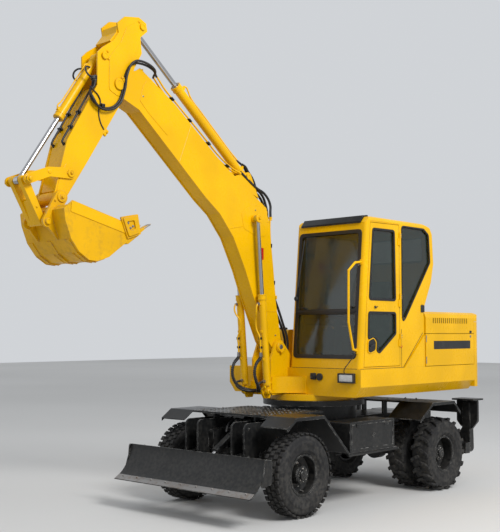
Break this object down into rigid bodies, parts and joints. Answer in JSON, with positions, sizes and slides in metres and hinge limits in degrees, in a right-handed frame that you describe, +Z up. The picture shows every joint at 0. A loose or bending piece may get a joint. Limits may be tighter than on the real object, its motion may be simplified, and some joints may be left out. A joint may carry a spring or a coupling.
{
  "type": "wheeled excavator",
  "caption": "Compact wheeled excavator with slewing cab, two-part arm with bucket, dozer blade and rear stabilisers.",
  "frame": {"origin": "on the ground under the slewing axis", "axes": "the front faces -Y, +X is the machine's left with the cab, +Z is up and the ground is Z = 0"},
  "size_m": [2.116, 6.116, 5],
  "materials": {
    "yellow_paint": "gloss",
    "black_paint": "satin",
    "rim_paint": "satin",
    "rubber": "matt",
    "rod": "polished",
    "steel_pipe": "satin",
    "window": "clear",
    "seat": "woven",
    "plastic": "grained",
    "lamp": "clear",
    "iron": "rough"
  },
  "bodies": {
    "chassis": {"chassis_frame": "black_paint", "front_axle": "black_paint", "rear_axle": "black_paint", "drive_line": "black_paint", "fenders": "black_paint", "tool_box": "black_paint", "fuel_tank": "black_paint"},
    "upper": {"upper_frame": "yellow_paint", "boom_foot": "yellow_paint", "cab_shell": "yellow_paint", "cab_glass": "window", "controls": "plastic", "seat_pads": "seat", "handrail": "yellow_paint", "lamps": "lamp", "side_locker": "yellow_paint", "counterweight": "yellow_paint", "engine_block": "iron"},
    "door": {"door": "yellow_paint", "door_glass": "window"},
    "hood_lid": {"hood_lid": "yellow_paint"},
    "engine_door_left": {"engine_door_left": "yellow_paint"},
    "engine_door_right": {"engine_door_right": "yellow_paint"},
    "knuckle_left": {"knuckle_left": "black_paint"},
    "knuckle_right": {"knuckle_right": "black_paint"},
    "tie_rod": {"tie_rod": "steel_pipe"},
    "wheel_front_left": {"tyre_front_left": "rubber", "rim_front_left": "rim_paint"},
    "wheel_front_right": {"tyre_front_right": "rubber", "rim_front_right": "rim_paint"},
    "wheels_rear_left": {"tyres_rear_left": "rubber", "rims_rear_left": "rim_paint"},
    "wheels_rear_right": {"tyres_rear_right": "rubber", "rims_rear_right": "rim_paint"},
    "blade": {"blade": "black_paint"},
    "blade_tube": {"blade_tube": "black_paint"},
    "blade_rod": {"blade_rod": "rod"},
    "stabiliser_left": {"stabiliser_left": "black_paint"},
    "stabiliser_right": {"stabiliser_right": "black_paint"},
    "stab_tube_left": {"stab_tube_left": "black_paint"},
    "stab_tube_right": {"stab_tube_right": "black_paint"},
    "stab_rod_left": {"stab_rod_left": "rod"},
    "stab_rod_right": {"stab_rod_right": "rod"},
    "boom": {"boom": "yellow_paint", "boom_pipes": "steel_pipe"},
    "boom_tubes": {"boom_tubes": "yellow_paint"},
    "boom_rods": {"boom_rods": "rod"},
    "stick": {"stick": "yellow_paint"},
    "arm_tube": {"arm_tube": "yellow_paint"},
    "arm_rod": {"arm_rod": "rod"},
    "bucket": {"bucket": "yellow_paint"},
    "rocker": {"rocker": "yellow_paint"},
    "bucket_link": {"bucket_link": "yellow_paint"},
    "bucket_tube": {"bucket_tube": "yellow_paint"},
    "bucket_rod": {"bucket_rod": "rod"}
  },
  "joints": [
    {"name": "slew", "type": "hinge", "parent": "chassis", "child": "upper", "pos_m": [0, 0, 1.1], "axis": [0, 0, 1], "continuous": true},
    {"name": "steer_left", "type": "hinge", "parent": "chassis", "child": "knuckle_left", "pos_m": [0.59, -1.24, 0.425], "axis": [0, 0, 1], "range_deg": [-28, 28]},
    {"name": "steer_right", "type": "hinge", "parent": "chassis", "child": "knuckle_right", "pos_m": [-0.59, -1.24, 0.425], "axis": [0, 0, 1], "range_deg": [-28, 28]},
    {"name": "tie_rod_slide", "type": "slide", "parent": "chassis", "child": "tie_rod", "axis": [1, 0, 0], "range_m": [-0.09, 0.09]},
    {"name": "wheel_front_left_spin", "type": "hinge", "parent": "knuckle_left", "child": "wheel_front_left", "pos_m": [0.798, -1.24, 0.425], "axis": [1, 0, 0], "continuous": true},
    {"name": "wheel_front_right_spin", "type": "hinge", "parent": "knuckle_right", "child": "wheel_front_right", "pos_m": [-0.798, -1.24, 0.425], "axis": [1, 0, 0], "continuous": true},
    {"name": "wheels_rear_left_spin", "type": "hinge", "parent": "chassis", "child": "wheels_rear_left", "pos_m": [0.903, 1.24, 0.425], "axis": [1, 0, 0], "continuous": true},
    {"name": "wheels_rear_right_spin", "type": "hinge", "parent": "chassis", "child": "wheels_rear_right", "pos_m": [-0.903, 1.24, 0.425], "axis": [1, 0, 0], "continuous": true},
    {"name": "blade_lift", "type": "hinge", "parent": "chassis", "child": "blade", "pos_m": [0, -1.38, 0.6], "axis": [-1, 0, 0], "range_deg": [-24, 6]},
    {"name": "blade_tube_tilt", "type": "hinge", "parent": "chassis", "child": "blade_tube", "pos_m": [0, -1.29, 0.83], "axis": [-1, 0, 0], "range_deg": [-17, 5]},
    {"name": "blade_rod_slide", "type": "slide", "parent": "blade_tube", "child": "blade_rod", "axis": [0, -0.8396, -0.5433], "range_m": [-0.02, 0.055]},
    {"name": "stabiliser_left_swing", "type": "hinge", "parent": "chassis", "child": "stabiliser_left", "pos_m": [0.9, 1.94, 0.43], "axis": [0, 1, 0], "range_deg": [0, 115]},
    {"name": "stab_tube_left_tilt", "type": "hinge", "parent": "chassis", "child": "stab_tube_left", "pos_m": [0.3, 1.94, 0.76], "axis": [0, 1, 0], "range_deg": [-6, 1]},
    {"name": "stab_rod_left_slide", "type": "slide", "parent": "stab_tube_left", "child": "stab_rod_left", "axis": [0.9285, 0, -0.3714], "range_m": [-0.01, 0.285]},
    {"name": "stabiliser_right_swing", "type": "hinge", "parent": "chassis", "child": "stabiliser_right", "pos_m": [-0.9, 1.94, 0.43], "axis": [0, -1, 0], "range_deg": [0, 115]},
    {"name": "stab_tube_right_tilt", "type": "hinge", "parent": "chassis", "child": "stab_tube_right", "pos_m": [-0.3, 1.94, 0.76], "axis": [0, -1, 0], "range_deg": [-6, 1]},
    {"name": "stab_rod_right_slide", "type": "slide", "parent": "stab_tube_right", "child": "stab_rod_right", "axis": [-0.9285, 0, -0.3714], "range_m": [-0.01, 0.285]},
    {"name": "boom_lift", "type": "hinge", "parent": "upper", "child": "boom", "pos_m": [-0.2, -0.54, 1.7], "axis": [-1, 0, 0], "range_deg": [-84, 5]},
    {"name": "boom_tubes_tilt", "type": "hinge", "parent": "upper", "child": "boom_tubes", "pos_m": [-0.2, -0.77, 1.205], "axis": [-1, 0, 0], "range_deg": [-75, 6]},
    {"name": "boom_rods_slide", "type": "slide", "parent": "boom_tubes", "child": "boom_rods", "axis": [0, -0.088, 0.9961], "range_m": [-0.69, 0.05]},
    {"name": "stick_swing", "type": "hinge", "parent": "boom", "child": "stick", "pos_m": [-0.2, -2.89, 4.275], "axis": [1, 0, 0], "range_deg": [-55, 30]},
    {"name": "arm_tube_tilt", "type": "hinge", "parent": "boom", "child": "arm_tube", "pos_m": [-0.2, -0.99, 3.6], "axis": [1, 0, 0], "range_deg": [-2, 2]},
    {"name": "arm_rod_slide", "type": "slide", "parent": "arm_tube", "child": "arm_rod", "axis": [0, -0.7757, 0.6311], "range_m": [-0.63, 0.35]},
    {"name": "bucket_curl", "type": "hinge", "parent": "stick", "child": "bucket", "pos_m": [-0.2, -3.57, 3.095], "axis": [1, 0, 0], "range_deg": [-120, 20]},
    {"name": "rocker_turn", "type": "hinge", "parent": "stick", "child": "rocker", "pos_m": [-0.2, -3.46, 3.33], "axis": [1, 0, 0], "range_deg": [-77, 14]},
    {"name": "bucket_link_turn", "type": "hinge", "parent": "rocker", "child": "bucket_link", "pos_m": [-0.2, -3.92, 3.225], "axis": [1, 0, 0], "range_deg": [-8, 42]},
    {"name": "bucket_tube_tilt", "type": "hinge", "parent": "stick", "child": "bucket_tube", "pos_m": [-0.2, -3.07, 4.52], "axis": [1, 0, 0], "range_deg": [-6, 2]},
    {"name": "bucket_rod_slide", "type": "slide", "parent": "bucket_tube", "child": "bucket_rod", "axis": [0, -0.5487, -0.836], "range_m": [-0.58, 0.11]},
    {"name": "door_swing", "type": "hinge", "parent": "upper", "child": "door", "pos_m": [0.974, 0.372, 2.2], "axis": [0, 0, 1], "range_deg": [0, 110]},
    {"name": "hood_lid_lift", "type": "hinge", "parent": "upper", "child": "hood_lid", "pos_m": [0, 0.886, 2.105], "axis": [1, 0, 0], "range_deg": [0, 50]},
    {"name": "engine_door_left_swing", "type": "hinge", "parent": "upper", "child": "engine_door_left", "pos_m": [0.98, 0.886, 1.66], "axis": [0, 0, -1], "range_deg": [0, 80]},
    {"name": "engine_door_right_swing", "type": "hinge", "parent": "upper", "child": "engine_door_right", "pos_m": [-0.98, 0.886, 1.66], "axis": [0, 0, 1], "range_deg": [0, 80]}
  ],
  "couplings": [
    {"joint": "steer_right", "follows": "steer_left", "ratio": 1},
    {"joint": "tie_rod_slide", "follows": "steer_left", "m_per_rad": -0.17},
    {"joint": "blade_tube_tilt", "follows": "blade_lift", "ratio": 0.66},
    {"joint": "blade_rod_slide", "follows": "blade_lift", "m_per_rad": -0.11746},
    {"joint": "stab_tube_left_tilt", "follows": "stabiliser_left_swing", "ratio": -0.0434},
    {"joint": "stab_rod_left_slide", "follows": "stabiliser_left_swing", "m_per_rad": 0.1378},
    {"joint": "stab_tube_right_tilt", "follows": "stabiliser_right_swing", "ratio": -0.0434},
    {"joint": "stab_rod_right_slide", "follows": "stabiliser_right_swing", "m_per_rad": 0.1378},
    {"joint": "boom_tubes_tilt", "follows": "boom_lift", "ratio": 0.877},
    {"joint": "boom_rods_slide", "follows": "boom_lift", "m_per_rad": 0.45837},
    {"joint": "arm_tube_tilt", "follows": "stick_swing", "ratio": 0.01},
    {"joint": "arm_rod_slide", "follows": "stick_swing", "m_per_rad": 0.63598},
    {"joint": "rocker_turn", "follows": "bucket_curl", "ratio": 0.63},
    {"joint": "bucket_link_turn", "follows": "bucket_curl", "ratio": -0.32},
    {"joint": "bucket_tube_tilt", "follows": "bucket_curl", "ratio": 0.04},
    {"joint": "bucket_rod_slide", "follows": "bucket_curl", "m_per_rad": 0.26929}
  ]
}
